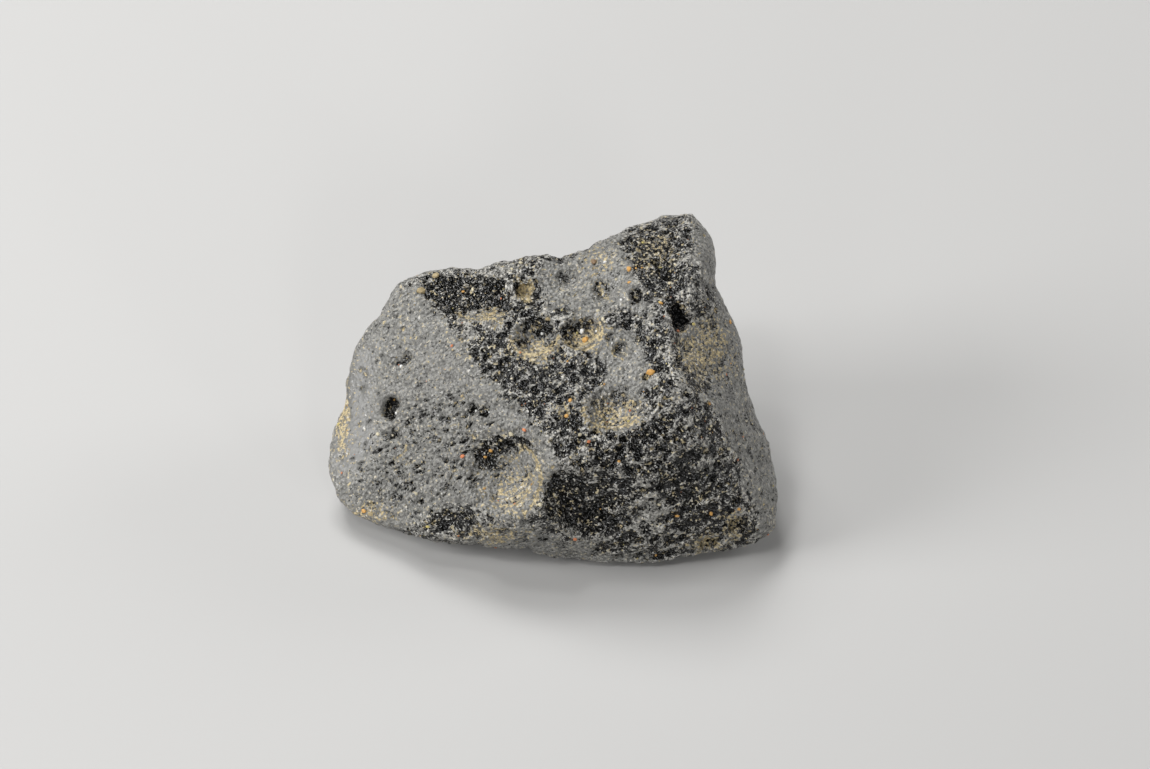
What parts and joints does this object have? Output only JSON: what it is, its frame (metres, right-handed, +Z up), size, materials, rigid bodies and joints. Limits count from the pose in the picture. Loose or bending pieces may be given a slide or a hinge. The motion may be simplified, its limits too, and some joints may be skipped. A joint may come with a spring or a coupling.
{
  "type": "tektite",
  "caption": "Lump of natural black impact glass with spalled faces, bubble pits and a flat facet that it rests on.",
  "frame": {"origin": "middle of the bounding box's footprint, at the height of the facet that the stone rests on", "axes": "+Z up, +X along the stone's long side, towards its tall pointed lobe; the broad pitted face looks towards -Y and up"},
  "size_m": [0.0448, 0.0304, 0.0247],
  "materials": {
    "tektite_glass": "opaque black natural glass, satin and finely pitted, with clay in its hollows"
  },
  "bodies": {
    "root": {"tektite": "tektite_glass"}
  },
  "joints": []
}
